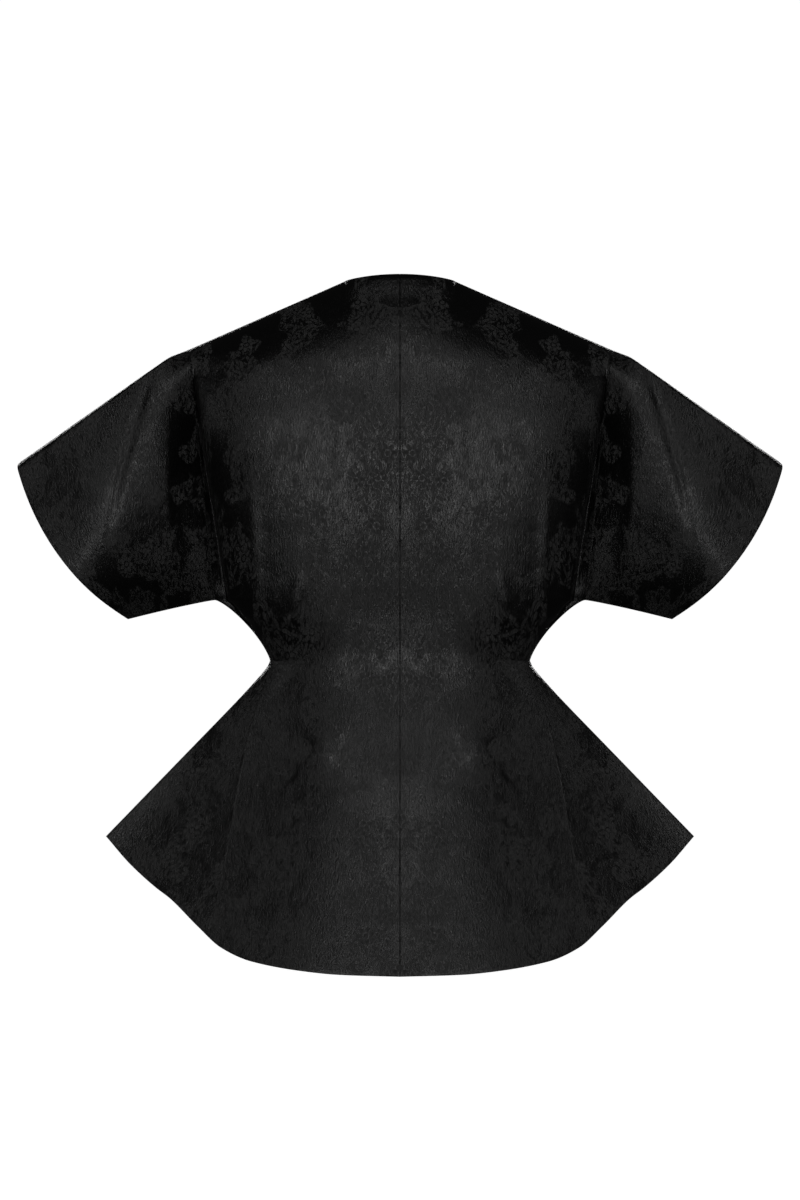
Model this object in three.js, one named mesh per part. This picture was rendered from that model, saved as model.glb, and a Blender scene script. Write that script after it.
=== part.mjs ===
// A fitted jacket with short kimono sleeves cut in one with the body, and a flared peplum with side gores.
// Millimetres, +Z up, +Y towards the wearer's back, +X towards the wearer's left.
// The origin is the middle of the neck opening, level with the two neck points, where the shoulders carry it.
import * as THREE from "three";

// Cloth and seams
const CLOTH = 1.6;
const HALF_GAP = 0.15;
const AT_SEAM = HALF_GAP + 0.015;
const STEEPEST_MITRE = 0.45;

// The outline of one half, in the plane of the side seams: x out from the centre, z up
const NECK = { x: 56, rise: 5, backY: 40, spread: 48, settle: 30, round: 36 };
const SHOULDER = { slope: 0.439, tipX: 232.6 };
const OVERARM = { slope: 0.695, endX: 388 };
const APEX_X = 211;
const CUFF_FOOT = { x: 277.4, drop: 19.6 };
const CUFF_BULGE = { depth: 17.5, x: 0.821, z: -0.571 };
const ARMPIT = { x: 188.7, z: -325.4, roundness: 1.3 };
const UNDERARM_BEND = 1.15;
const FLANK_BEND = 4;
const WAIST = { x: 133, z: -387 };
const CORNER = { x: 300, z: -566 };
const WAIST_TURN = 0.04;
const HEM_Z = { back: -699, front: -690 };

// The front edges: a deep V neckline, then the wearer's left front laps over the right
const FRONT = { overlap: 22, pointZ: -235, bend: 0.9 };
const LAP = { full: 34, none: 90, lift: CLOTH + 0.7 };

// The hem: how far out, as a share of the corner, and how far up, as a share of the corner's rise
const HEM = [
  { out: 0, rise: 0 },
  { out: 0.2, rise: 0.012 },
  { out: 0.34, rise: 0.04 },
  { out: 0.5, rise: 0.1 },
  { out: 0.6, rise: 0.19 },
  { out: 0.68, rise: 0.34 },
  { out: 0.774, rise: 0.538 },
  { out: 0.83, rise: 0.627 },
  { out: 0.92, rise: 0.8 },
  { out: 1, rise: 1 },
];

// The body at each height: how far the back and the front stand from the side seams, and how square the section is
const BODY = [
  { z: 20, back: 64, front: 40, square: 5.5 },
  { z: -50, back: 92, front: 68, square: 6.5 },
  { z: -90, back: 101, front: 86, square: 7 },
  { z: -150, back: 107, front: 108, square: 6.5 },
  { z: -220, back: 104, front: 122, square: 4.8 },
  { z: -300, back: 90, front: 112, square: 3.4 },
  { z: -350, back: 78, front: 98, square: 3 },
  { z: -387, back: 72, front: 90, square: 2.6 },
  { z: -430, back: 76, front: 95, square: 2.3 },
  { z: -460, back: 83, front: 100, square: 2.1 },
  { z: -495, back: 92, front: 104, square: 2 },
  { z: -560, back: 102, front: 111, square: 1.9 },
  { z: -620, back: 107, front: 116, square: 1.8 },
  { z: -710, back: 112, front: 121, square: 1.8 },
];
const SHOULDER_ROUND = 115;

// Where the worn body turns under into the deep fold beside it, as a share of the way out to that fold
const BODY_EDGE = [
  { down: 0, share: 0.985 },
  { down: 0.093, share: 0.985 },
  { down: 0.446, share: 0.965 },
  { down: 0.8, share: 0.93 },
  { down: 1, share: 0.91 },
];

// The sleeve from that fold (0) to the cuff (1): how high its ridge stands
const SLEEVE = [
  { out: 0, ridge: 56 },
  { out: 0.15, ridge: 64 },
  { out: 0.3, ridge: 70 },
  { out: 0.6, ridge: 72 },
  { out: 1, ridge: 62 },
];
const RIDGE = { start: 0.09, run: 0.56, flatFrom: 0.35, seamRoll: 0.07, seamShare: 0.6 };
const FALL = { bend: 1.5, power: 0.9 };
const VALLEY = { depth: 0.7, start: 0.08, run: 0.4, width: 0.1, spread: 0.28, power: 0.8 };
const FLOOR = { height: 3, hump: 3, edge: 0.8, start: 0.15, run: 0.5, end: 0.25 };
const CREASE = { from: 0.2, to: 0.72, slope: 1.15, width: 0.04, depth: 3.5 };

// Drag folds of the worn body, each a soft ridge from its upper to its lower end
const FOLDS = [
  { x: 152, z: -170, endX: 143, endZ: -380, width: 8, height: 4.5 },
  { x: 90, z: -262, endX: 121, endZ: -392, width: 9, height: 4 },
  { x: 60, z: -300, endX: 84, endZ: -395, width: 12, height: 2.5 },
  { x: 118, z: -60, endX: 172, endZ: -122, width: 13, height: 2.5 },
  { x: 15, z: -494, endX: 150, endZ: -506, width: 20, height: 9 },
];

// The peplum: how its section pinches towards the side seams, its soft flutes at the hem, and the gore's seam
const PINCH = { waist: 0.5, hem: 1.25, quickness: 1.4 };
const FLUTES = [
  { out: 0.3, width: 0.16, height: -4 },
  { out: 0.65, width: 0.07, height: 8 },
  { out: 0.82, width: 0.08, height: -6 },
];
const FLUTE_FADE = { down: 1.5, side: 6 };
const GORE = { hem: 0.65, bend: 1.6, tip: 0.03 };

// How finely each stretch is divided
const DIVISIONS = { neck: 4, torso: 8, valley: 3, sleeve: 10, gore: 6, upper: 14, flank: 5, peplum: 12 };
const ROW_CROWDING = { upper: 1.5, peplum: 1.2 };
const SIDE_OF_HUMP = 1.3;
const FRONT_SPREAD = 2;
const NORMAL_STEP = 0.004;

const clamp = (t) => Math.min(1, Math.max(0, t));
const mix = (a, b, t) => a + (b - a) * t;
const smooth = (t) => clamp(t) ** 2 * (3 - 2 * clamp(t));
const dome = (t) => Math.sqrt(1 - (1 - clamp(t)) ** 2);
const bump = (t) => Math.exp(-t * t);
const spaced = (count, shape) => Array.from({ length: count + 1 }, (_, i) => shape(i / count));

// Reads one column of a table at a place between its rows, on a smooth curve that never overshoots them
function along(table, place, column) {
  const rows = [...table].sort((a, b) => a[place] - b[place]);
  const x = rows.map((row) => row[place]);
  const y = rows.map((row) => row[column]);
  const slope = x.slice(1).map((edge, i) => (y[i + 1] - y[i]) / (edge - x[i]));
  const tangent = x.map((_, i) => {
    const before = slope[Math.max(0, i - 1)];
    const after = slope[Math.min(slope.length - 1, i)];
    return before * after <= 0 ? 0 : (2 * before * after) / (before + after);
  });
  return (at) => {
    const i = x.slice(1, -1).filter((edge) => edge <= at).length;
    const step = x[i + 1] - x[i];
    const t = clamp((at - x[i]) / step);
    const ends = y[i] * (1 - smooth(t)) + y[i + 1] * smooth(t);
    return ends + step * t * (1 - t) * (tangent[i] * (1 - t) - tangent[i + 1] * t);
  };
}

const hemRise = along(HEM, "out", "rise");
const bodyDepth = { back: along(BODY, "z", "back"), front: along(BODY, "z", "front") };
const squareness = along(BODY, "z", "square");
const edgeShare = along(BODY_EDGE, "down", "share");
const ridgeHeight = along(SLEEVE, "out", "ridge");

// The top outline: neckline, shoulder seam, then the seam over the arm
function roof(x) {
  if (x < NECK.x) return NECK.rise * (1 - (x / NECK.x) ** 2);
  const overArm = Math.max(0, x - SHOULDER.tipX);
  return -(x - NECK.x - overArm) * SHOULDER.slope - overArm * OVERARM.slope;
}

// How far the back stands behind the shoulders: at the neckline's curve, then spreading softly below it
function neckDepth(x, drop) {
  const curve = NECK.backY * Math.sqrt(Math.max(0, 1 - (x / NECK.x) ** 2));
  return mix(curve, NECK.backY * bump(x / NECK.spread), smooth(drop / NECK.settle));
}

// How far a place lies below the top outline, with the outline's corner at the neck rounded off
function softDrop(topX, z) {
  const off = topX - NECK.x;
  const soft = (-SHOULDER.slope * (Math.hypot(off, NECK.round) + off)) / 2;
  const drop = roof(topX) - z;
  return mix(drop, Math.max(0, soft - z), smooth(drop / NECK.settle));
}

// Brings the cloth down onto the underarm seam and the armpit
function intoArmpit(down, out) {
  const reach = clamp((down - FLOOR.edge) / (1 - FLOOR.edge)) * clamp((out - FLOOR.edge) / (1 - FLOOR.edge));
  return Math.sqrt(1 - reach ** 2);
}

// The sleeve's height above the seams. down: 0 at the seam over the arm, 1 at the underarm
function sleeveHeight(out, down) {
  const ridge = RIDGE.start + RIDGE.run * out;
  const climb = clamp(down / ridge);
  const slope = Math.sin((climb * Math.PI) / 2);
  const flat = mix(slope, dome(climb / RIDGE.seamRoll), RIDGE.seamShare);
  const rising = mix(dome(climb), flat, smooth(out / RIDGE.flatFrom));
  const fall = (1 - clamp((down - ridge) / (1 - ridge)) ** FALL.bend) ** FALL.power;
  const sunk = VALLEY.depth * smooth((down - VALLEY.start) / VALLEY.run);
  const open = mix(1 - sunk, 1, clamp(out / (VALLEY.width + VALLEY.spread * down)) ** VALLEY.power);
  const floor = FLOOR.height * (down < ridge ? rising : 1);
  const height = floor + (ridgeHeight(out) - FLOOR.height) * (down < ridge ? rising : fall) * open;
  const fade = Math.sin(Math.PI * clamp((out - CREASE.from) / (CREASE.to - CREASE.from)));
  return height - CREASE.depth * fade * bump((down - CREASE.slope * (out - CREASE.from)) / CREASE.width);
}

// The drag folds at one place of the body, fading towards both ends
function folds(x, z) {
  return FOLDS.reduce((sum, fold) => {
    const run = { x: fold.endX - fold.x, z: fold.endZ - fold.z };
    const length = Math.hypot(run.x, run.z);
    const t = ((x - fold.x) * run.x + (z - fold.z) * run.z) / length ** 2;
    const off = ((x - fold.x) * run.z - (z - fold.z) * run.x) / length;
    return sum + fold.height * bump(off / fold.width) * Math.sin(Math.PI * clamp(t)) ** 2;
  }, 0);
}

// The lapping left front rises off the right one towards the front edges
const lapLift = (side, x) => (side === "lapping" ? LAP.lift * (1 - smooth((x - LAP.full) / (LAP.none - LAP.full))) : 0);

// A point of the outer face, from its height above the plane of the side seams
function onSide(side, x, height, z) {
  const y = height + HALF_GAP + lapLift(side, x);
  return new THREE.Vector3(x, side === "back" ? y : -y, z);
}

const faceOf = (side) => (side === "back" ? "back" : "front");

// The deep fold beside the body: a soft hump between its two steep sides. across: 0 at the body, 1 at the sleeve
function foldHeight(across, floor, atSleeve, hump) {
  const t = clamp(across);
  return mix(floor, atSleeve, t) + hump * (1 - Math.abs(2 * t - 1) ** SIDE_OF_HUMP);
}

// The worn body's height, from the deep fold's floor up to the full section
function bodyHeight(side, x, z, full, edge, floor) {
  const section = Math.sqrt(1 - clamp(Math.abs(x) / edge) ** squareness(z));
  return floor * (1 - section) + (full + folds(Math.abs(x), z)) * section;
}

// The inner edge: the centre back seam, or the front neckline running into the lapped front edge
function innerEdge(side, z) {
  if (side === "back") return HALF_GAP;
  return mix(NECK.x, -FRONT.overlap, clamp(z / FRONT.pointZ) ** FRONT.bend);
}

// From the shoulder to the height of the armpit. out: 0 at the inner edge, 1 at the deep fold
function torso(side, out, down) {
  const topInner = innerEdge(side, 0);
  const topX = mix(topInner, APEX_X, out);
  const z = mix(roof(topX), ARMPIT.z, down);
  const foldX = mix(APEX_X, ARMPIT.x, down);
  const x = mix(innerEdge(side, mix(roof(topInner), ARMPIT.z, down)), foldX, out);
  const start = side === "back" ? neckDepth(topX, roof(topX) - z) : 0;
  const full = mix(start, bodyDepth[faceOf(side)](z), dome(softDrop(topX, z) / SHOULDER_ROUND));
  const edge = foldX * edgeShare(down);
  const atSleeve = sleeveHeight(0, down);
  const floor = mix(atSleeve, FLOOR.height, smooth((down - FLOOR.start) / FLOOR.run));
  const fold = foldHeight((x - edge) / (foldX - edge), floor, atSleeve, FLOOR.hump * down ** 2);
  return onSide(side, x, bodyHeight(side, x, z, full, edge, fold * intoArmpit(down, clamp(x / foldX))), z);
}

// From the deep fold to the cuff. out: 0 at the fold, 1 at the cuff
function sleeve(side, out, down) {
  const topX = mix(APEX_X, OVERARM.endX, out);
  const footX = mix(ARMPIT.x, CUFF_FOOT.x, out);
  const footZ = ARMPIT.z - CUFF_FOOT.drop * out ** UNDERARM_BEND;
  const bulge = CUFF_BULGE.depth * 4 * down * (1 - down) * out ** 2;
  const x = mix(topX, footX, down) + bulge * CUFF_BULGE.x;
  const z = mix(roof(topX), footZ, down) + bulge * CUFF_BULGE.z;
  return onSide(side, x, sleeveHeight(out, down) * intoArmpit(down, 1), z);
}

// From the armpit to the waist. out: 0 at the inner edge, 1 at the side seam
function flank(side, out, down) {
  const turn = ((1 - down) * Math.PI) / 2;
  const power = 2 / ARMPIT.roundness;
  const edgeX = mix(ARMPIT.x, WAIST.x, Math.cos(turn) ** power);
  const edgeZ = mix(WAIST.z, ARMPIT.z, Math.sin(turn) ** power);
  const x = mix(side === "back" ? HALF_GAP : -FRONT.overlap, edgeX, out);
  const share = clamp(x / edgeX);
  const z = mix(mix(ARMPIT.z, WAIST.z, down), edgeZ, share ** FLANK_BEND);
  const bodyEdge = Math.min(edgeX, mix(ARMPIT.x * edgeShare(1), WAIST.x, down));
  const across = (x - bodyEdge) / Math.max(edgeX - bodyEdge, 1);
  const floor = FLOOR.height * dome((1 - down) / FLOOR.end);
  const fold = foldHeight(across, floor, floor, FLOOR.hump * (1 - down) ** 2);
  const full = bodyDepth[faceOf(side)](z);
  return onSide(side, x, bodyHeight(side, x, z, full, bodyEdge, fold * intoArmpit(1, share)), z);
}

// From the waist to the hem. out: 0 at the inner edge, 1 at the side seam
function peplum(side, out, down) {
  const edgeX = mix(WAIST.x, CORNER.x, (down ** 2 * (1 + WAIST_TURN)) / (down + WAIST_TURN));
  const centreZ = mix(WAIST.z, HEM_Z[faceOf(side)], down);
  const x = mix(side === "back" ? HALF_GAP : -FRONT.overlap, edgeX, out);
  const share = clamp(Math.abs(x) / edgeX);
  const z = mix(centreZ, mix(WAIST.z, CORNER.z, down), hemRise(share));
  const pinch = mix(PINCH.waist, PINCH.hem, smooth(down * PINCH.quickness));
  const section = (1 - share ** squareness(centreZ)) ** pinch;
  const flutes = FLUTES.reduce((sum, flute) => sum + flute.height * bump((share - flute.out) / flute.width), 0);
  const swell = flutes * down ** FLUTE_FADE.down * (1 - share ** FLUTE_FADE.side) + folds(Math.abs(x), z) * section;
  return onSide(side, x, bodyDepth[faceOf(side)](centreZ) * section + swell, z);
}

// Where the gore's seam crosses each row of the peplum
const goreShare = (down) => mix(1, GORE.hem, 1 - (1 - down) ** GORE.bend);

// A patch of cloth: rows and columns of points on a surface, and the outward direction at each
function patch(side, surface, columns, rows, spread = (column) => column) {
  const at = (column, row) => surface(side, clamp(spread(column, clamp(row))), clamp(row));
  const points = rows.map((row) => columns.map((column) => at(column, row)));
  const normals = rows.map((row) =>
    columns.map((column) => {
      const out = spread(column, row);
      const nextOut = Math.min(1, out + NORMAL_STEP);
      const lastOut = Math.max(0, out - NORMAL_STEP);
      const nextRow = Math.min(1, row + NORMAL_STEP);
      const lastRow = Math.max(0, row - NORMAL_STEP);
      const across = surface(side, nextOut, row).sub(surface(side, lastOut, row));
      const below = surface(side, out, nextRow).sub(surface(side, out, lastRow));
      const normal = across.cross(below).normalize();
      return side === "back" ? normal : normal.negate();
    }),
  );
  return { points, normals };
}

// Joins patches at their shared points, gives the cloth its thickness inwards and closes its edges
function cloth(name, patches, side, mirror) {
  const found = new Map();
  const outer = [];
  const normals = [];
  const triangles = [];
  for (const { points, normals: directions } of patches) {
    const ids = points.map((row, j) =>
      row.map((point, i) => {
        const key = point.toArray().map((value) => Math.round(value * 100)).join();
        if (!found.has(key)) {
          found.set(key, outer.length);
          outer.push(point);
          normals.push(new THREE.Vector3());
        }
        normals[found.get(key)].add(directions[j][i]);
        return found.get(key);
      }),
    );
    for (let j = 1; j < ids.length; j++) {
      for (let i = 1; i < ids[j].length; i++) {
        const quad = [ids[j - 1][i - 1], ids[j][i - 1], ids[j][i], ids[j - 1][i]];
        for (const corner of [[0, 1, 2], [0, 2, 3]]) {
          const triangle = corner.map((k) => quad[k]);
          if (new Set(triangle).size === 3) triangles.push(triangle);
        }
      }
    }
  }
  const inner = outer.map((point, i) => insideOf(point, normals[i].normalize()));
  return solid(name, outer, inner, triangles, (side === "back") !== mirror, mirror);
}

// The point of the inner face under one of the outer face. On a seam it stays in the seam's plane, as a mitre
function insideOf(point, normal) {
  const inSeam = normal.clone();
  if (Math.abs(point.y) < AT_SEAM) inSeam.y = 0;
  if (Math.abs(point.x) < AT_SEAM) inSeam.x = 0;
  inSeam.normalize();
  return point.clone().addScaledVector(inSeam, -CLOTH / Math.max(STEEPEST_MITRE, inSeam.dot(normal)));
}

// The closed mesh between two faces of the same triangles, turned over where they would face inwards
function solid(name, outer, inner, triangles, turnOver, mirror) {
  const count = outer.length;
  const faces = triangles.flatMap(([a, b, c]) => [[a, b, c], [a + count, c + count, b + count]]);
  const open = new Map();
  for (const [a, b, c] of triangles) {
    for (const [from, to] of [[a, b], [b, c], [c, a]]) {
      if (!open.delete(`${to},${from}`)) open.set(`${from},${to}`, [from, to]);
    }
  }
  for (const [from, to] of open.values()) {
    faces.push([from, from + count, to + count], [from, to + count, to]);
  }
  const turned = faces.map(([a, b, c]) => (turnOver ? [a, c, b] : [a, b, c]));
  const geometry = new THREE.BufferGeometry();
  const positions = [...outer, ...inner].flatMap((point) => [mirror ? -point.x : point.x, point.y, point.z]);
  geometry.setAttribute("position", new THREE.Float32BufferAttribute(positions, 3));
  geometry.setIndex(turned.flat());
  geometry.computeVertexNormals();
  const mesh = new THREE.Mesh(geometry, jacquard());
  mesh.name = name;
  return mesh;
}

function jacquard() {
  return new THREE.MeshStandardMaterial({ name: "jacquard", color: 0x121212, roughness: 0.55, metalness: 0 });
}

// Columns of the body: across the neck (0 to 1), on to the body's edge (1 to 2), then over the deep fold (2 to 3)
function bodyColumn(column, down) {
  const neck = NECK.x / APEX_X;
  const edge = edgeShare(down);
  if (column <= 1) return neck * Math.sin((column * Math.PI) / 2);
  return column <= 2 ? mix(neck, edge, Math.sin(((column - 1) * Math.PI) / 2)) : mix(edge, 1, column - 2);
}

const bodyColumns = [
  ...spaced(DIVISIONS.neck, (t) => t),
  ...spaced(DIVISIONS.torso, (t) => 1 + t).slice(1),
  ...spaced(DIVISIONS.valley, (t) => 2 + t).slice(1),
];
const upperRows = spaced(DIVISIONS.upper, (t) => t ** ROW_CROWDING.upper);
const flankRows = spaced(DIVISIONS.flank, (t) => t);
const goreRows = spaced(DIVISIONS.peplum, (t) => mix(GORE.tip, 1, t ** ROW_CROWDING.peplum));
const peplumRows = [0, ...goreRows];

// The half of the jacket above the waist, body and sleeve in one
function bodice(side) {
  return [
    patch(side, torso, bodyColumns, upperRows, bodyColumn),
    patch(side, sleeve, spaced(DIVISIONS.sleeve, (t) => t), upperRows),
    patch(side, flank, bodyColumns, flankRows, (column) => bodyColumn(column, 1)),
  ];
}

function backPanel(name, mirror) {
  const spread = (column, down) => bodyColumn(column, 1) * goreShare(down);
  const skirt = patch("back", peplum, bodyColumns, peplumRows, spread);
  return cloth(name, [...bodice("back"), skirt], "back", mirror);
}

function sideGore(name, mirror) {
  const gap = (down) => (2 * HALF_GAP) / mix(WAIST.x, CORNER.x, down);
  const spread = (column, down) => mix(goreShare(down) + gap(down), 1, column);
  const columns = spaced(DIVISIONS.gore, (t) => t);
  return cloth(name, [patch("back", peplum, columns, goreRows, spread)], "back", mirror);
}

function frontPanel(name, side, mirror) {
  const spread = (column, down) => mix(bodyColumn(column, 1), column / 3, smooth(down * FRONT_SPREAD));
  return cloth(name, [...bodice(side), patch(side, peplum, bodyColumns, peplumRows, spread)], side, mirror);
}

function jacket() {
  const group = new THREE.Group();
  group.name = "kimono_jacket";
  group.add(
    backPanel("back_left", false),
    backPanel("back_right", true),
    sideGore("side_gore_left", false),
    sideGore("side_gore_right", true),
    frontPanel("front_left", "lapping", false),
    frontPanel("front_right", "under", true),
  );
  return group;
}

export default jacket();
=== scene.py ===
import math

import bpy
import numpy as np
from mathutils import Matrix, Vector


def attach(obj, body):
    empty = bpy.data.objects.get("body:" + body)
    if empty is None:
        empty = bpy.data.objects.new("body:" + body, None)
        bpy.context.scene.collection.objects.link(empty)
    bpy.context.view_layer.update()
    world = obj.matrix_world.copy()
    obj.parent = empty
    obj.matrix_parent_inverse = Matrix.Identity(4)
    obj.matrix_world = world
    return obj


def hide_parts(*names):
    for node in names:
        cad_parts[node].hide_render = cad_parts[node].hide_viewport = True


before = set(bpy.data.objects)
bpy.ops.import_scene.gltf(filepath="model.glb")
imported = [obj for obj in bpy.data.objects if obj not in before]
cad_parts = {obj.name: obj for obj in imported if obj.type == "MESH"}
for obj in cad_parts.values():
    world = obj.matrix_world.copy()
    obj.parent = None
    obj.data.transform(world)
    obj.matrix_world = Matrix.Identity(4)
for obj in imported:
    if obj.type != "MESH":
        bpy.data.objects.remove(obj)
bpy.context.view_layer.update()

# Metres in the scene, millimetres in the tables. +Y is the wearer's back, +X the wearer's left
MM = 0.001
# Wall of the cloth, and how far its inner face may lean out where a seam's mitre is steep
CLOTH = 1.6
STEEPEST_MITRE = 0.45
# How near a seam's plane a point counts as lying in it, and how near each other two points are one
ON_SEAM = 0.1
WELD = 0.005
# How far a panel's rim sinks to show the seam, and the share of the width that its first columns take
SEAM_SINK = 0.4
BESIDE_SEAM = 0.006

# Outline of one half, in the plane of the side seams
NECK = {"x": 56, "rise": 5, "back_y": 40, "spread": 48, "settle": 30, "round": 36}
SHOULDER = {"slope": 0.439, "tip_x": 232.6}
OVERARM = {"slope": 0.695, "end_x": 388}
APEX_X = 211
CUFF_FOOT = {"x": 277.4, "drop": 19.6}
CUFF_BULGE = {"depth": 17.5, "x": 0.821, "z": -0.571}
ARMPIT = {"x": 188.7, "z": -325.4, "roundness": 1.3}
UNDERARM_BEND = 1.15
WAIST = {"x": 133, "z": -387}
CORNER = {"x": 300, "z": -566}
WAIST_TURN = 0.04
HEM_Z = {"back": -699, "front": -690}

# The fronts: how far each passes the middle, the foot of the V, and the lifted part of the lapping one
FRONT = {"overlap": 22, "point_z": -235, "bend": 0.9}
LAP_GAP = 0.7
LAP = {"full": 34, "none": 90, "lift": CLOTH + LAP_GAP}

# Hem: (share of the way out to the corner, share of the corner's rise)
HEM = [
    (0, 0),
    (0.2, 0.012),
    (0.34, 0.04),
    (0.5, 0.1),
    (0.6, 0.19),
    (0.68, 0.34),
    (0.774, 0.538),
    (0.83, 0.627),
    (0.92, 0.8),
    (1, 1),
]

# Body: (z, depth of the back, depth of the front, squareness of the section)
BODY = [
    (-710, 126, 122, 2.4),
    (-620, 109, 115, 2.4),
    (-560, 100, 110, 2.4),
    (-495, 92, 104, 2.3),
    (-460, 83, 100, 2.3),
    (-430, 76, 95, 2.3),
    (-387, 72, 90, 3),
    (-350, 78, 98, 3.5),
    (-300, 90, 112, 4),
    (-220, 104, 122, 4.8),
    (-150, 107, 108, 6.5),
    (-90, 101, 86, 7),
    (-50, 92, 68, 6.5),
    (20, 64, 40, 5.5),
]
# How far below the shoulders the back reaches its full depth
SHOULDER_ROUND = 115

# Where the body turns under into the deep fold: (down, share of the way out to it)
BODY_EDGE = [(0, 0.985), (0.093, 0.985), (0.446, 0.965), (0.8, 0.93), (1, 0.91)]

# Sleeve from the deep fold to the cuff: (out, height of the ridge)
SLEEVE = [(0, 56), (0.15, 68), (0.3, 76), (0.6, 79), (1, 68)]
# Height of the ridge line down the sleeve, and how the cloth rises to it from the shoulder seam
RIDGE = {"start": 0.09, "run": 0.56, "flat_from": 0.18, "seam_roll": 0.07, "seam_share": 0.74}
# How it falls from the ridge to the underarm seam: quickly in the fold, gently further out
FALL = {"bend": 1.7, "fold_power": 0.4, "power": 0.8, "spread": 0.3}
# How the sleeve sinks beside the body, as shares of the ridge's height and of the sleeve's length
VALLEY = {"depth": 0.5, "start": 0.08, "run": 0.4, "width": 0.1, "spread": 0.28, "power": 0.8}
# Floor of the deep fold, and how its ends close into the armpit
FLOOR = {"height": 3, "edge": 0.8, "start": 0.15, "run": 0.5, "end": 0.25}
# The body's edge, which stays high and then drops into the fold
TUCK = {"depth": 0.06, "drop": 5, "start": 0.4}
# The slanting crease of the upper sleeve
CREASE = {"from": 0.2, "to": 0.72, "slope": 1.15, "width": 0.035, "depth": 2.5}

# Drag folds of the body: (upper x, upper z, lower x, lower z, width, height)
FOLDS = [
    (152, -170, 143, -380, 8, 4.5),
    (90, -262, 121, -392, 9, 4),
    (60, -300, 84, -395, 12, 2.5),
    (118, -60, 172, -122, 13, 2.5),
    (35, -470, 135, -482, 19, 9),
    (150, -400, 172, -900, 22, 3.5),
    (212, -440, 206, -900, 22, -3),
]
# Peplum flutes: (share out, width, height at the hem)
FLUTES = [(0.42, 0.2, 4)]
# The hem's turn-up: its width, and the step at its inner edge
TURN_UP = {"width": 58, "step": 0.7, "run": 0.012}
# How sharply the peplum meets at its side seams
PINCH = {"waist": 0.5, "hem": 1.5, "quickness": 1.4}
# Inner edge of the gore: its share of the hem, its bend, and where its point starts below the waist
GORE = {"hem": 0.65, "bend": 1.6, "tip": 0.03}

FULL_STEPS = {
    "neck": 20,
    "torso": 56,
    "valley": 14,
    "sleeve": 60,
    "gore": 40,
    "upper": 110,
    "flank": 24,
    "peplum": 100,
}
FINENESS = 1
FEWEST_STEPS = 3
STEPS = {name: max(FEWEST_STEPS, round(count * FINENESS)) for name, count in FULL_STEPS.items()}
ROW_CROWDING = {"upper": 1.5, "gore": 1.2}

# The grain's two coordinates: the share of depth in the length down, and where each part's cloth starts
GRAIN = {
    "depth_share": 0.35,
    "sleeve_x": 250,
    "sleeve_width": 190,
    "sleeve_z": 68,
    "gore_x": 700,
    "gore_z": 400,
}


def clamp(t):
    return np.clip(t, 0, 1)


def mix(a, b, t):
    return a + (b - a) * t


def smooth(t):
    t = clamp(t)
    return t * t * (3 - 2 * t)


def dome(t):
    return np.sqrt(1 - (1 - clamp(t)) ** 2)


def bump(t):
    return np.exp(-t * t)


def along(table, column):
    """Reads one column of a table between its rows, on a smooth curve that never overshoots them."""
    x = np.array([row[0] for row in table], float)
    y = np.array([row[column] for row in table], float)
    slope = np.diff(y) / np.diff(x)
    before = np.append(slope[0], slope)
    after = np.append(slope, slope[-1])
    with np.errstate(divide="ignore", invalid="ignore"):
        tangent = np.where(before * after <= 0, 0, 2 * before * after / (before + after))

    def read(at):
        at = np.asarray(at, float)
        i = np.clip(np.searchsorted(x, at, "right") - 1, 0, len(x) - 2)
        step = x[i + 1] - x[i]
        t = clamp((at - x[i]) / step)
        ends = y[i] * (1 - smooth(t)) + y[i + 1] * smooth(t)
        return ends + step * t * (1 - t) * (tangent[i] * (1 - t) - tangent[i + 1] * t)

    return read


hem_rise = along(HEM, 1)
body_depth = {"back": along(BODY, 1), "front": along(BODY, 2)}
squareness = along(BODY, 3)
edge_share = along(BODY_EDGE, 1)
ridge_height = along(SLEEVE, 1)


def face_of(side):
    return "back" if side == "back" else "front"


def roof(x):
    over_arm = np.maximum(0, x - SHOULDER["tip_x"])
    neckline = NECK["rise"] * (1 - (x / NECK["x"]) ** 2)
    shoulder = -(x - NECK["x"] - over_arm) * SHOULDER["slope"] - over_arm * OVERARM["slope"]
    return np.where(x < NECK["x"], neckline, shoulder)


def neck_depth(x, drop):
    """How far the back stands behind the shoulders: on the neckline's curve, and spreading below it."""
    curve = NECK["back_y"] * np.sqrt(np.maximum(0, 1 - (x / NECK["x"]) ** 2))
    return mix(curve, NECK["back_y"] * bump(x / NECK["spread"]), smooth(drop / NECK["settle"]))


def soft_roof(x):
    """The top outline with its corner at the neck rounded off."""
    off = x - NECK["x"]
    return -SHOULDER["slope"] * (np.hypot(off, NECK["round"]) + off) / 2


def into_armpit(down, out):
    """Closes the deep fold towards the armpit, from 1 to 0."""
    edge = FLOOR["edge"]
    reach = clamp((down - edge) / (1 - edge)) * clamp((out - edge) / (1 - edge))
    return np.sqrt(1 - reach**2)


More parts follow.
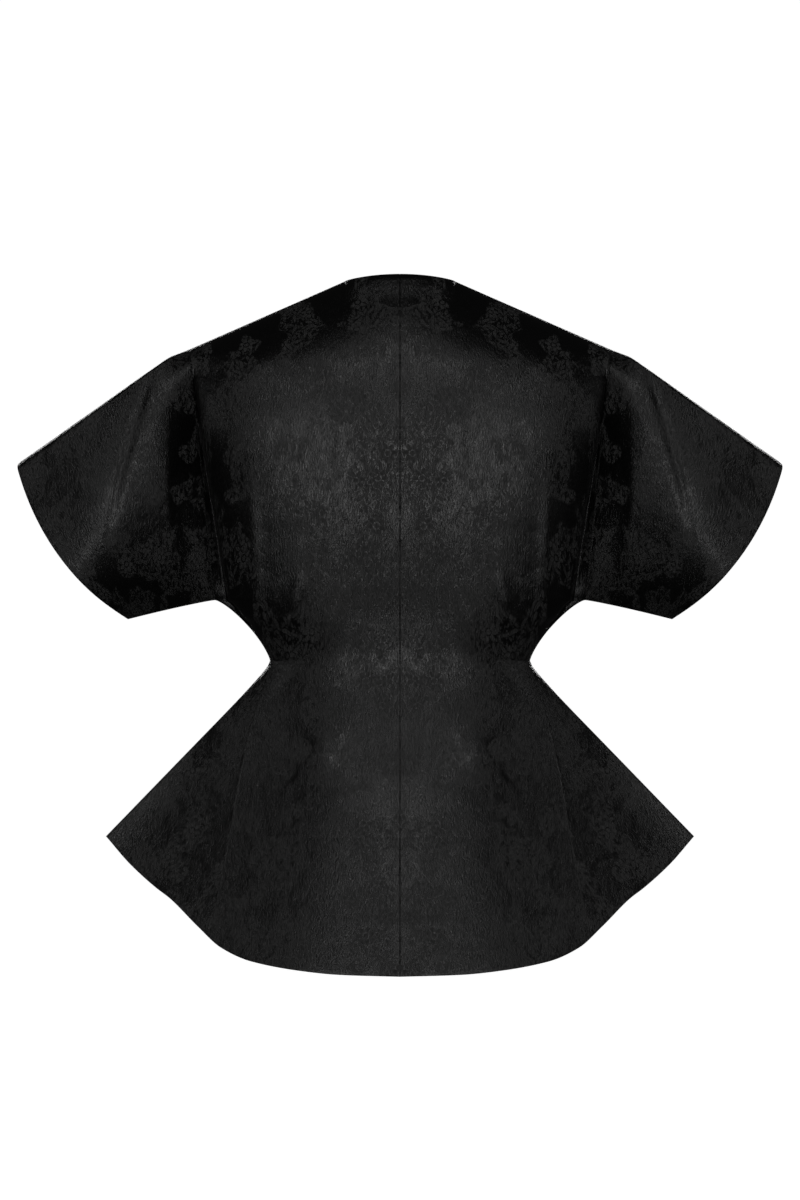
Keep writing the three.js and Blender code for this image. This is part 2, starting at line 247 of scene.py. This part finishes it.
def sleeve_height(out, down):
    """Height of the sleeve over the plane of the side seams, with its ridge, fold and crease."""
    out = np.asarray(out, float) + 0 * down
    ridge = RIDGE["start"] + RIDGE["run"] * out
    climb = clamp(down / ridge)
    flat = mix(np.sin(climb * math.pi / 2), dome(climb / RIDGE["seam_roll"]), RIDGE["seam_share"])
    rising = mix(dome(climb), flat, smooth(out / RIDGE["flat_from"]))
    power = mix(FALL["fold_power"], FALL["power"], smooth(out / FALL["spread"]))
    fall = (1 - clamp((down - ridge) / (1 - ridge)) ** FALL["bend"]) ** power
    sunk = VALLEY["depth"] * smooth((down - VALLEY["start"]) / VALLEY["run"])
    open_share = clamp(out / (VALLEY["width"] + VALLEY["spread"] * down)) ** VALLEY["power"]
    risen = np.where(down < ridge, rising, fall) * mix(1 - sunk, 1, open_share)
    floor = FLOOR["height"] * np.where(down < ridge, rising, 1)
    height = floor + (ridge_height(out) - FLOOR["height"]) * risen
    middle = clamp((out - CREASE["from"]) / (CREASE["to"] - CREASE["from"]))
    crease = bump((down - CREASE["slope"] * (out - CREASE["from"])) / CREASE["width"])
    return height - CREASE["depth"] * np.sin(math.pi * middle) * crease


def folds(x, z):
    """Height that the drag folds add."""
    total = 0 * x
    for from_x, from_z, to_x, to_z, width, height in FOLDS:
        run_x, run_z = to_x - from_x, to_z - from_z
        length = math.hypot(run_x, run_z)
        t = ((x - from_x) * run_x + (z - from_z) * run_z) / length**2
        off = ((x - from_x) * run_z - (z - from_z) * run_x) / length
        total = total + height * bump(off / width) * np.sin(math.pi * clamp(t)) ** 2
    return total


def on_side(side, x, height, z):
    """Points of the back, or of a front. The lapping front is lifted over the other one near the centre."""
    y = height
    if side == "lapping":
        y = height + LAP["lift"] * (1 - smooth((x - LAP["full"]) / (LAP["none"] - LAP["full"])))
    return np.stack([x, y if side == "back" else -y, z], axis=-1)


def body_height(x, z, full, edge, floor, tuck=0):
    """Height over the body. With a tuck, it stands high at its edge and drops into the fold from there."""
    off = np.abs(x)
    section = np.sqrt(1 - clamp(off / edge / (1 + tuck)) ** squareness(z))
    section = section * (1 - smooth((off - edge) / TUCK["drop"]))
    return floor * (1 - section) + (full + folds(np.abs(x), z)) * section


def centre_edge(side):
    """Where a panel ends at the centre: at the seam of the back, and past the middle of the front."""
    return 0 if side == "back" else -FRONT["overlap"]


def inner_edge(side, z):
    if side == "back":
        return 0 * z
    return mix(NECK["x"], centre_edge(side), clamp(z / FRONT["point_z"]) ** FRONT["bend"])


def torso(side, out, down):
    """The body above the armpit, from the middle out to the deep fold and from the shoulder down."""
    top_inner = inner_edge(side, np.zeros(()))
    top_x = mix(top_inner, APEX_X, out)
    z = mix(roof(top_x), ARMPIT["z"], down)
    fold_x = mix(APEX_X, ARMPIT["x"], down)
    x = mix(inner_edge(side, mix(roof(top_inner), ARMPIT["z"], down)), fold_x, out)
    drop = roof(top_x) - z
    start = neck_depth(top_x, drop) if side == "back" else 0
    soft_drop = mix(drop, np.maximum(0, soft_roof(top_x) - z), smooth(drop / NECK["settle"]))
    full = mix(start, body_depth[face_of(side)](z), dome(soft_drop / SHOULDER_ROUND))
    edge = fold_x * edge_share(down)
    at_sleeve = sleeve_height(0, down)
    floor = mix(at_sleeve, FLOOR["height"], smooth((down - FLOOR["start"]) / FLOOR["run"]))
    fold = mix(floor, at_sleeve, clamp((x - edge) / (fold_x - edge)))
    fold = fold * into_armpit(down, clamp(x / fold_x))
    tuck = TUCK["depth"] * smooth(down / TUCK["start"])
    return on_side(side, x, body_height(x, z, full, edge, fold, tuck), z)


def sleeve(side, out, down):
    """The sleeve, from the deep fold out to the cuff and from the shoulder down to the underarm."""
    top_x = mix(APEX_X, OVERARM["end_x"], out)
    foot_x = mix(ARMPIT["x"], CUFF_FOOT["x"], out)
    foot_z = ARMPIT["z"] - CUFF_FOOT["drop"] * out**UNDERARM_BEND
    bulge = CUFF_BULGE["depth"] * 4 * down * (1 - down) * out**2
    x = mix(top_x, foot_x, down) + bulge * CUFF_BULGE["x"]
    z = mix(roof(top_x), foot_z, down) + bulge * CUFF_BULGE["z"]
    return on_side(side, x, sleeve_height(out, down) * into_armpit(down, 1 + 0 * out), z)


def flank(side, out, down):
    """The body from the armpit down to the waist."""
    turn = (1 - down) * math.pi / 2
    power = 2 / ARMPIT["roundness"]
    edge_x = mix(ARMPIT["x"], WAIST["x"], clamp(np.cos(turn)) ** power)
    edge_z = mix(WAIST["z"], ARMPIT["z"], clamp(np.sin(turn)) ** power)
    x = mix(centre_edge(side), edge_x, out)
    share = clamp(x / edge_x)
    z = mix(mix(ARMPIT["z"], WAIST["z"], down), edge_z, share**4)
    body_edge = np.minimum(edge_x, mix(ARMPIT["x"] * edge_share(1), WAIST["x"], down))
    fold = FLOOR["height"] * dome((1 - down) / FLOOR["end"]) * into_armpit(1 + 0 * down, share)
    full = body_depth[face_of(side)](z)
    tuck = TUCK["depth"] * smooth((edge_x - body_edge) / TUCK["drop"] - 1)
    return on_side(side, x, body_height(x, z, full, body_edge, fold, tuck), z)


def peplum(side, out, down):
    """The flared part, from the waist down to the hem and from the middle out to the side seam."""
    edge_x = mix(WAIST["x"], CORNER["x"], down**2 * (1 + WAIST_TURN) / (down + WAIST_TURN))
    centre_z = mix(WAIST["z"], HEM_Z[face_of(side)], down)
    x = mix(centre_edge(side), edge_x, out)
    share = clamp(np.abs(x) / edge_x)
    z = mix(centre_z, mix(WAIST["z"], CORNER["z"], down), hem_rise(share))
    pinch = mix(PINCH["waist"], PINCH["hem"], smooth(down * PINCH["quickness"]))
    section = (1 - share ** squareness(centre_z)) ** pinch
    flutes = sum(height * bump((share - at) / width) for at, width, height in FLUTES)
    swell = flutes * down**1.5 * (1 - share**6) + folds(np.abs(x), z) * section
    turned_up = 1 - TURN_UP["width"] / (WAIST["z"] - mix(HEM_Z["back"], CORNER["z"], hem_rise(share)))
    swell = swell + TURN_UP["step"] * smooth((down - turned_up) / TURN_UP["run"])
    return on_side(side, x, body_depth[face_of(side)](centre_z) * section + swell, z)


def gore_share(down):
    return mix(1, GORE["hem"], 1 - (1 - down) ** GORE["bend"])


def body_column(column, down):
    """How far out a column of the body's grid lies: over the neck, over the body, then in the fold."""
    neck = NECK["x"] / APEX_X
    edge = edge_share(down)
    across = neck * np.sin(column * math.pi / 2)
    body = mix(neck, edge, np.sin((column - 1) * math.pi / 2))
    fold = mix(edge, 1, column - 2)
    return np.where(column <= 1, across, np.where(column <= 2, body, fold))


def spaced(count, power=1):
    return np.linspace(0, 1, count + 1) ** power


def body_columns():
    parts = [spaced(STEPS["neck"]), 1 + spaced(STEPS["torso"]), 2 + spaced(STEPS["valley"])]
    return np.concatenate([[0, BESIDE_SEAM, 2 * BESIDE_SEAM], parts[0][1:], parts[1][1:], parts[2][1:]])


upper_rows = spaced(STEPS["upper"], ROW_CROWDING["upper"])
flank_rows = spaced(STEPS["flank"])
gore_rows = mix(GORE["tip"], 1, spaced(STEPS["peplum"], ROW_CROWDING["gore"]))
peplum_rows = np.append(0, gore_rows)


def grid(columns, rows, spread=lambda column, down: column):
    column, down = np.meshgrid(columns, rows)
    return clamp(spread(column, down)), down


def patch(side, surface, columns, rows, grain, spread=lambda column, down: column):
    """A grid of points of the cloth's outer face, and the grain's two coordinates at each."""
    out, down = grid(columns, rows, spread)
    points = surface(side, out, down)
    return points, grain(points, out, down)


def run_across(points):
    """Length along each row, from its first point."""
    step = np.linalg.norm(np.diff(points, axis=1), axis=-1)
    return np.concatenate([np.zeros((len(points), 1)), np.cumsum(step, axis=1)], axis=1)


def run_down(points):
    """Length down each column, from its first point."""
    step = np.linalg.norm(np.diff(points, axis=0), axis=-1)
    return np.concatenate([np.zeros((1, points.shape[1])), np.cumsum(step, axis=0)], axis=0)


def body_grain(points, out, down):
    across = run_across(points) + points[:, :1, 0]
    return np.stack([across, -points[..., 2] + GRAIN["depth_share"] * np.abs(points[..., 1])], axis=-1)


def sleeve_grain(points, out, down):
    across = GRAIN["sleeve_x"] + GRAIN["sleeve_width"] * out
    return np.stack([across, GRAIN["sleeve_z"] + run_down(points)], axis=-1)


def gore_grain(points, out, down):
    across = run_across(points)
    across = across - across[:, -1:] / 2
    return np.stack([GRAIN["gore_x"] + across, GRAIN["gore_z"] + run_down(points)], axis=-1)


def merged(patches):
    """Welds patches at their shared points: vertices, quads and the grain at each vertex."""
    points = np.concatenate([p.reshape(-1, 3) for p, _ in patches])
    grain = np.concatenate([g.reshape(-1, 2) for _, g in patches])
    quads = []
    first = 0
    for p, _ in patches:
        rows, columns = p.shape[:2]
        ids = first + np.arange(rows * columns).reshape(rows, columns)
        corners = [ids[:-1, :-1], ids[1:, :-1], ids[1:, 1:], ids[:-1, 1:]]
        quads.append(np.stack(corners, axis=-1).reshape(-1, 4))
        first += rows * columns
    quads = np.concatenate(quads)
    cells = np.round(points / WELD).astype(int)
    _, kept, place = np.unique(cells, axis=0, return_index=True, return_inverse=True)
    quads = place.reshape(-1)[quads]
    sides = np.sort(quads, axis=1)
    real = (np.diff(sides, axis=1) > 0).all(axis=1)
    return points[kept], quads[real], grain[kept]


def vertex_normals(points, quads):
    """Outward normals of the outer face, weighted by the size of the faces round each point."""
    across = points[quads[:, 2]] - points[quads[:, 0]]
    down = points[quads[:, 3]] - points[quads[:, 1]]
    face = np.cross(across, down)
    normals = np.zeros_like(points)
    for k in range(4):
        np.add.at(normals, quads[:, k], face)
    return normals / np.maximum(np.linalg.norm(normals, axis=1, keepdims=True), 1e-9)


def inside_of(points, normals):
    """The inner face under the outer one. On a seam it stays in the seam's plane, as a mitre."""
    way = normals.copy()
    way[np.abs(points[:, 1]) < ON_SEAM, 1] = 0
    way[np.abs(points[:, 0]) < ON_SEAM, 0] = 0
    way /= np.maximum(np.linalg.norm(way, axis=1, keepdims=True), 1e-9)
    reach = np.maximum(STEEPEST_MITRE, (way * normals).sum(axis=1))
    return points - way * (CLOTH / reach)[:, None]


def rim_edges(quads):
    """The edges that only one quad has, in that quad's direction."""
    edges = np.concatenate([quads[:, [k, (k + 1) % 4]] for k in range(4)])
    low, high = edges.min(axis=1), edges.max(axis=1)
    _, back, counts = np.unique(low * (quads.max() + 1) + high, return_inverse=True, return_counts=True)
    return edges[counts[back.reshape(-1)] == 1]


def sharpen(mesh, edges):
    """Marks these edges, given as pairs of vertices, as sharp ones."""
    pairs = np.empty(len(mesh.edges) * 2, int)
    mesh.edges.foreach_get("vertices", pairs)
    size = len(mesh.vertices)
    pairs = np.sort(pairs.reshape(-1, 2), axis=1)
    wanted = np.sort(edges, axis=1)
    sharp = np.isin(pairs[:, 0] * size + pairs[:, 1], wanted[:, 0] * size + wanted[:, 1])
    mesh.attributes.new("sharp_edge", "BOOLEAN", "EDGE").data.foreach_set("value", sharp)


def closed_sheet(patches, side):
    """A closed thin sheet: its points, faces, grain, rims, and how many faces are outer ones."""
    outer, quads, grain = merged(patches)
    if side == "back":
        quads = quads[:, ::-1]
    normals = vertex_normals(outer, quads)
    inner = inside_of(outer, normals)
    count = len(outer)
    edges = rim_edges(quads)
    rim = np.unique(edges)
    outer[rim] -= normals[rim] * SEAM_SINK
    faces = [tuple(q) for q in quads]
    faces += [tuple(q[::-1] + count) for q in quads]
    faces += [(b, a, a + count, b + count) for a, b in edges]
    rims = np.concatenate([edges, edges + count])
    return np.concatenate([outer, inner]), faces, np.concatenate([grain, grain]), rims, len(quads)


def lay_grain(mesh, grain):
    at = np.empty(len(mesh.loops), int)
    mesh.loops.foreach_get("vertex_index", at)
    layer = mesh.uv_layers.new(name="grain")
    layer.data.foreach_set("uv", (grain[at] * MM).astype(np.float32).ravel())


def dress(mesh, outer_faces):
    """Smooth faces: the first ones in the pattern's material, all others in that of the reverse."""
    mesh.polygons.foreach_set("use_smooth", np.ones(len(mesh.polygons), bool))
    reversed_faces = np.zeros(len(mesh.polygons), np.int32)
    reversed_faces[outer_faces:] = 1
    mesh.materials.append(JACQUARD)
    mesh.materials.append(REVERSE)
    mesh.polygons.foreach_set("material_index", reversed_faces)


def cloth(name, patches, side, mirror=False):
    """One panel of cloth, riding on the root in place of the solid of this name."""
    points, faces, grain, rims, outer_faces = closed_sheet(patches, side)
    if mirror:
        points = points * [-1, 1, 1]
        faces = [face[::-1] for face in faces]
    mesh = bpy.data.meshes.new(name)
    mesh.from_pydata((points * MM).tolist(), [], [tuple(int(i) for i in face) for face in faces])
    lay_grain(mesh, grain)
    dress(mesh, outer_faces)
    mesh.update()
    sharpen(mesh, rims)
    o = bpy.data.objects.new("visual_" + name, mesh)
    bpy.context.collection.objects.link(o)
    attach(o, "root")
    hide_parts(name)
    return o


class Nodes:
    """Short ways to add and join shader nodes in one material."""

    def __init__(self, material):
        self.material = material
        self.tree = material.node_tree
        self.tree.nodes.clear()

    def add(self, kind, **values):
        node = self.tree.nodes.new(kind)
        for key, value in values.items():
            setattr(node, key, value)
        return node

    def put(self, value, socket):
        if isinstance(value, bpy.types.NodeSocket):
            self.tree.links.new(value, socket)
        else:
            socket.default_value = value

    def math(self, operation, a, b=0.0, c=0.0):
        node = self.add("ShaderNodeMath", operation=operation)
        for value, socket in zip((a, b, c), node.inputs):
            self.put(value, socket)
        return node.outputs[0]

    def vector(self, operation, a, b=(0, 0, 0)):
        node = self.add("ShaderNodeVectorMath", operation=operation)
        self.put(a, node.inputs[0])
        self.put(b, node.inputs[1])
        return node.outputs[0]

    def split(self, vector):
        node = self.add("ShaderNodeSeparateXYZ")
        self.put(vector, node.inputs[0])
        return node.outputs[0], node.outputs[1]

    def join(self, x, y, z=0.0):
        node = self.add("ShaderNodeCombineXYZ")
        self.put(x, node.inputs[0])
        self.put(y, node.inputs[1])
        self.put(z, node.inputs[2])
        return node.outputs[0]

    def noise(self, vector, scale, detail=2.0, roughness=0.5, distortion=0.0):
        node = self.add("ShaderNodeTexNoise", noise_dimensions="2D")
        self.put(vector, node.inputs["Vector"])
        node.inputs["Scale"].default_value = scale
        node.inputs["Detail"].default_value = detail
        node.inputs["Roughness"].default_value = roughness
        node.inputs["Distortion"].default_value = distortion
        return node.outputs["Fac"]

    def step(self, value, low, high):
        node = self.add("ShaderNodeMapRange", interpolation_type="SMOOTHSTEP")
        self.put(value, node.inputs["Value"])
        node.inputs["From Min"].default_value = low
        node.inputs["From Max"].default_value = high
        return node.outputs["Result"]


# Pattern, in metres. Leaves: (leaves along a metre, offset of the layout, half length, half width)
LEAVES = [
    (135.0, (0.131, 0.457, 0.0), 0.0045, 0.0011),
    (118.0, (0.531, 0.857, 0.0), 0.0050, 0.0013),
    (106.0, (0.731, 0.557, 0.0), 0.0056, 0.0015),
    (90.0, (0.313, 0.177, 0.0), 0.0065, 0.0017),
    (75.0, (0.0, 0.0, 0.0), 0.0078, 0.0020),
]
LEAF = {
    "turn_from": 0.35,
    "turn_run": 2.45,
    "bend": 25.0,
    "teeth": 2600.0,
    "tooth": 0.16,
    "edge": 0.0004,
    "rib": 0.0003,
}
LEAF_GAP = (-0.0009, -0.0004)
# Flowers: (flowers along a metre, offset of the layout, radius)
FLOWERS = (27.0, (0.077, 0.291, 0.0), 0.0105)
FLOWER = {"petals": 7, "waist": 0.4, "ring": 0.3, "edge": 0.0008}
FLOWER_RING = (0.0004, 0.0011)
FLOWER_GAP = (-0.0009, -0.0003)
SCATTER = 0.85
CLUSTERS = {"offset": (0.9, 0.43, 0.0), "scale": 19.0, "detail": 2.0, "low": 0.47, "high": 0.51}

# Crinkle: how often along a metre, how much closer across the warp, and its share of the height
FINE = {"scale": 230.0, "across": 3.2, "share": 0.94, "detail": 3.0, "roughness": 0.6, "distortion": 0.4}
BROAD = {"scale": 60.0, "across": 2.2, "share": 0.06, "detail": 1.0, "roughness": 0.5, "distortion": 0.5}
WANDER = {"scale": 60.0, "detail": 1.0, "width": 0.006}

# Satin ground and duller motif, whose colour is darkened in the crinkle's furrows as painted shade
GROUND = {"colour": (0.0015, 0.0015, 0.0015, 1), "roughness": 0.34, "crinkle": 0.0006}
MOTIF = {"colour": (0.031, 0.0308, 0.0306, 1), "rougher": 0.5, "in_furrow_shade": 0.3}
# Crinkle heights over which the painted shade in the motif's furrows fades out
FURROW_SHADE = (0.36, 0.64)
SPECULAR = 0.5
UNDERSIDE = {"colour": (0.011, 0.011, 0.011, 1), "roughness": 0.75, "crinkle": 0.0008}


def cell(n, place, scale, offset):
    """The nearest cell of a scattered layout: the way from its middle, and a random number for it."""
    node = n.add("ShaderNodeTexVoronoi", voronoi_dimensions="2D")
    moved = n.vector("ADD", place, offset)
    n.put(moved, node.inputs["Vector"])
    node.inputs["Scale"].default_value = scale
    node.inputs["Randomness"].default_value = SCATTER
    way = n.vector("SUBTRACT", moved, node.outputs["Position"])
    return way, n.split(node.outputs["Color"])[0]


def turned(n, way, turn):
    """The way from the middle of a cell, turned by an angle: along and across."""
    x, y = n.split(way)
    cosine = n.math("COSINE", turn)
    sine = n.math("SINE", turn)
    lengthways = n.math("ADD", n.math("MULTIPLY", x, cosine), n.math("MULTIPLY", y, sine))
    across = n.math("SUBTRACT", n.math("MULTIPLY", y, cosine), n.math("MULTIPLY", x, sine))
    return lengthways, across


def leaves(n, place, scale, offset, length, width):
    """A scatter of bent, toothed leaves with a fine midrib, and the ground cleared round them."""
    way, chance = cell(n, place, scale, offset)
    turn = n.math("ADD", LEAF["turn_from"], n.math("MULTIPLY", chance, LEAF["turn_run"]))
    lengthways, across = turned(n, way, turn)
    bend = n.math("MULTIPLY", n.math("MULTIPLY", lengthways, lengthways), LEAF["bend"])
    share = n.math("DIVIDE", lengthways, length)
    belly = n.math("SUBTRACT", 1.0, n.math("MULTIPLY", share, share))
    wave = n.math("SINE", n.math("MULTIPLY", lengthways, LEAF["teeth"]))
    tooth = n.math("MULTIPLY", wave, LEAF["tooth"])
    edge = n.math("MULTIPLY", n.math("MULTIPLY", belly, width), n.math("ADD", 1.0, tooth))
    off = n.math("ABSOLUTE", n.math("ADD", across, bend))
    inwards = n.math("SUBTRACT", edge, off)
    blade = n.step(inwards, 0.0, LEAF["edge"])
    rib = n.step(off, 0.0, LEAF["rib"])
    return n.math("MULTIPLY", blade, rib), n.step(inwards, *LEAF_GAP)


def flowers(n, place, scale, offset, radius):
    """A scatter of open flowers with a ring round the middle, and the ground cleared round them."""
    way, chance = cell(n, place, scale, offset)
    x, y = n.split(way)
    angle = n.math("ADD", n.math("ARCTAN2", y, x), n.math("MULTIPLY", chance, 2 * math.pi))
    petal = n.math("ABSOLUTE", n.math("COSINE", n.math("MULTIPLY", angle, FLOWER["petals"] / 2)))
    swell = n.math("MULTIPLY", petal, 1 - FLOWER["waist"])
    reach = n.math("MULTIPLY", n.math("ADD", FLOWER["waist"], swell), radius)
    far = n.math("SQRT", n.math("ADD", n.math("MULTIPLY", x, x), n.math("MULTIPLY", y, y)))
    inwards = n.math("SUBTRACT", reach, far)
    off_ring = n.math("ABSOLUTE", n.math("SUBTRACT", far, radius * FLOWER["ring"]))
    mask = n.math("MULTIPLY", n.step(inwards, 0.0, FLOWER["edge"]), n.step(off_ring, *FLOWER_RING))
    return mask, n.step(inwards, *FLOWER_GAP)


def laid_over(n, below, above):
    """Puts a scatter over another one, with a fine gap of ground round what lies above."""
    mask, cleared = above
    return n.math("MAXIMUM", n.math("MULTIPLY", below, n.math("SUBTRACT", 1.0, cleared)), mask)


def motifs(n, place):
    """Generic leaves and flowers in scattered clusters, as a mask."""
    sprays = 0.0
    for scale, offset, length, width in LEAVES:
        sprays = laid_over(n, sprays, leaves(n, place, scale, offset, length, width))
    sprays = laid_over(n, sprays, flowers(n, place, *FLOWERS))
    cloud = n.noise(n.vector("ADD", place, CLUSTERS["offset"]), CLUSTERS["scale"], CLUSTERS["detail"])
    return n.math("MULTIPLY", sprays, n.step(cloud, CLUSTERS["low"], CLUSTERS["high"]))


def furrows(n, x, y, kind):
    """One layer of the crinkle, drawn out along the warp."""
    place = n.join(n.math("MULTIPLY", x, kind["across"]), y)
    height = n.noise(place, kind["scale"], kind["detail"], kind["roughness"], kind["distortion"])
    return n.math("MULTIPLY", height, kind["share"])


def crinkle(n, place):
    """The bark-like crinkle of the cloth."""
    x, y = n.split(place)
    wave = n.math("SUBTRACT", n.noise(place, WANDER["scale"], WANDER["detail"]), 0.5)
    wandering = n.math("ADD", x, n.math("MULTIPLY", wave, WANDER["width"]))
    return n.math("ADD", furrows(n, wandering, y, FINE), furrows(n, x, y, BROAD))


def crinkled(name, distance):
    """The nodes of a new material whose surface is bumped by the crinkle."""
    material = bpy.data.materials.new(name)
    material.use_nodes = True
    n = Nodes(material)
    n.place = n.add("ShaderNodeUVMap", uv_map="grain").outputs[0]
    n.height = crinkle(n, n.place)
    bumped = n.add("ShaderNodeBump")
    n.put(n.height, bumped.inputs["Height"])
    bumped.inputs["Distance"].default_value = distance
    n.surface = n.add("ShaderNodeBsdfPrincipled")
    n.put(bumped.outputs[0], n.surface.inputs["Normal"])
    output = n.add("ShaderNodeOutputMaterial")
    n.put(n.surface.outputs[0], output.inputs[0])
    return n


def jacquard():
    """Black satin ground with a duller, slightly lighter motif, whose colour is darkened in the crinkle's
    furrows as painted shade.
    """
    n = crinkled("jacquard", GROUND["crinkle"])
    motif = motifs(n, n.place)
    # Painted shade: where the crinkle is low, the motif's colour drops to a share of itself, as if shade
    # fell in the furrows
    unshaded_share = n.math("MULTIPLY", n.step(n.height, *FURROW_SHADE), 1 - MOTIF["in_furrow_shade"])
    tone = n.add("ShaderNodeMix", data_type="RGBA")
    n.put(n.math("MULTIPLY", motif, n.math("ADD", MOTIF["in_furrow_shade"], unshaded_share)), tone.inputs[0])
    tone.inputs[6].default_value = GROUND["colour"]
    tone.inputs[7].default_value = MOTIF["colour"]
    n.put(tone.outputs[2], n.surface.inputs["Base Color"])
    roughness = n.math("ADD", GROUND["roughness"], n.math("MULTIPLY", motif, MOTIF["rougher"]))
    n.put(roughness, n.surface.inputs["Roughness"])
    n.surface.inputs["Specular IOR Level"].default_value = SPECULAR
    return n.material


def reverse():
    """The plain, dull underside of the cloth."""
    n = crinkled("jacquard_reverse", UNDERSIDE["crinkle"])
    n.surface.inputs["Base Color"].default_value = UNDERSIDE["colour"]
    n.surface.inputs["Roughness"].default_value = UNDERSIDE["roughness"]
    return n.material


def bodice(side):
    columns = body_columns()
    return [
        patch(side, torso, columns, upper_rows, body_grain, body_column),
        patch(side, sleeve, spaced(STEPS["sleeve"]), upper_rows, sleeve_grain),
        patch(side, flank, columns, flank_rows, body_grain, lambda column, down: body_column(column, 1)),
    ]


def back_panel(name, mirror):
    skirt = patch(
        "back", peplum, body_columns(), peplum_rows, body_grain,
        lambda column, down: body_column(column, 1) * gore_share(down),
    )
    return cloth(name, [*bodice("back"), skirt], "back", mirror)


def side_gore(name, mirror):
    skirt = patch(
        "back", peplum, spaced(STEPS["gore"]), gore_rows, gore_grain,
        lambda column, down: mix(gore_share(down), 1, column),
    )
    return cloth(name, [skirt], "back", mirror)


def front_panel(name, side, mirror):
    skirt = patch(
        side, peplum, body_columns(), peplum_rows, body_grain,
        lambda column, down: mix(body_column(column, 1), column / 3, smooth(down * 2)),
    )
    return cloth(name, [*bodice(side), skirt], side, mirror)


JACQUARD = jacquard()
REVERSE = reverse()

back_left = back_panel("back_left", False)
back_right = back_panel("back_right", True)
gore_left = side_gore("side_gore_left", False)
gore_right = side_gore("side_gore_right", True)
front_left = front_panel("front_left", "lapping", False)
front_right = front_panel("front_right", "under", True)

# Stage and camera, in metres. The picture's width and middle are at the side seams' plane
FLOOR_Z = -1.35
FLOOR_SIZE = 60
WALLS_RADIUS = 25
WHITE = {"colour": (0.9, 0.9, 0.9, 1), "roughness": 0.9, "glow": 1.0}
SURROUNDINGS = 0.012
CAMERA_FAR = 4.7
PICTURE_WIDTH = 0.816
PICTURE_MID_Z = -0.325
SENSOR = 36

# Soft lights: (name, place, aim, width and height, power)
LIGHTS = [
    ("front_soft", (0.0, 5.4, -0.95), (0, 0, -0.35), (3.4, 1.5), 78),
    ("top_soft", (0.0, 3.0, 2.6), (0, 0, -0.2), (2.0, 1.6), 31),
    ("far_side_soft", (0.0, -4.6, 0.2), (0, 0, -0.35), (3.4, 1.6), 60),
    ("left_soft", (4.6, -0.6, 0.2), (0, 0, -0.35), (2.4, 1.6), 12),
    ("right_soft", (-4.6, -0.6, 0.2), (0, 0, -0.35), (2.4, 1.6), 12),
]


def area_light(name, place, aim, size, power):
    light = bpy.data.lights.new(name, "AREA")
    light.shape = "RECTANGLE"
    light.size, light.size_y = size
    light.energy = power
    o = bpy.data.objects.new(name, light)
    bpy.context.collection.objects.link(o)
    o.location = place
    o.rotation_euler = (Vector(aim) - Vector(place)).to_track_quat("-Z", "Y").to_euler()


def white(name):
    material = bpy.data.materials.new(name)
    material.use_nodes = True
    surface = material.node_tree.nodes["Principled BSDF"]
    surface.inputs["Base Color"].default_value = WHITE["colour"]
    surface.inputs["Roughness"].default_value = WHITE["roughness"]
    surface.inputs["Emission Color"].default_value = (1, 1, 1, 1)
    surface.inputs["Emission Strength"].default_value = WHITE["glow"]
    return material


def stage_piece(o, name):
    """A piece of the stage that only the camera sees, so that it doesn't light the cloth."""
    o.name = name
    o.data.materials.append(white(name))
    o.visible_diffuse = False
    o.visible_glossy = False
    o.visible_shadow = False


def white_room():
    bpy.ops.mesh.primitive_plane_add(size=FLOOR_SIZE, location=(0, 0, FLOOR_Z))
    stage_piece(bpy.context.object, "floor")
    bpy.ops.mesh.primitive_uv_sphere_add(segments=48, ring_count=24, radius=WALLS_RADIUS)
    stage_piece(bpy.context.object, "walls")


def surroundings(strength):
    world = bpy.data.worlds.new("studio")
    world.use_nodes = True
    background = world.node_tree.nodes["Background"]
    background.inputs[0].default_value = (1, 1, 1, 1)
    background.inputs[1].default_value = strength
    bpy.context.scene.world = world


def camera():
    """Looks straight at the back from +Y, level with the middle of the picture."""
    data = bpy.data.cameras.new("camera")
    data.sensor_fit = "HORIZONTAL"
    data.sensor_width = SENSOR
    data.lens = SENSOR * CAMERA_FAR / PICTURE_WIDTH
    data.clip_end = 100
    o = bpy.data.objects.new("camera", data)
    bpy.context.collection.objects.link(o)
    o.location = (0, CAMERA_FAR, PICTURE_MID_Z)
    o.rotation_euler = (math.radians(90), 0, math.radians(180))
    bpy.context.scene.camera = o


white_room()
surroundings(SURROUNDINGS)
for light in LIGHTS:
    area_light(*light)
camera()
bpy.context.scene.view_settings.view_transform = "Standard"
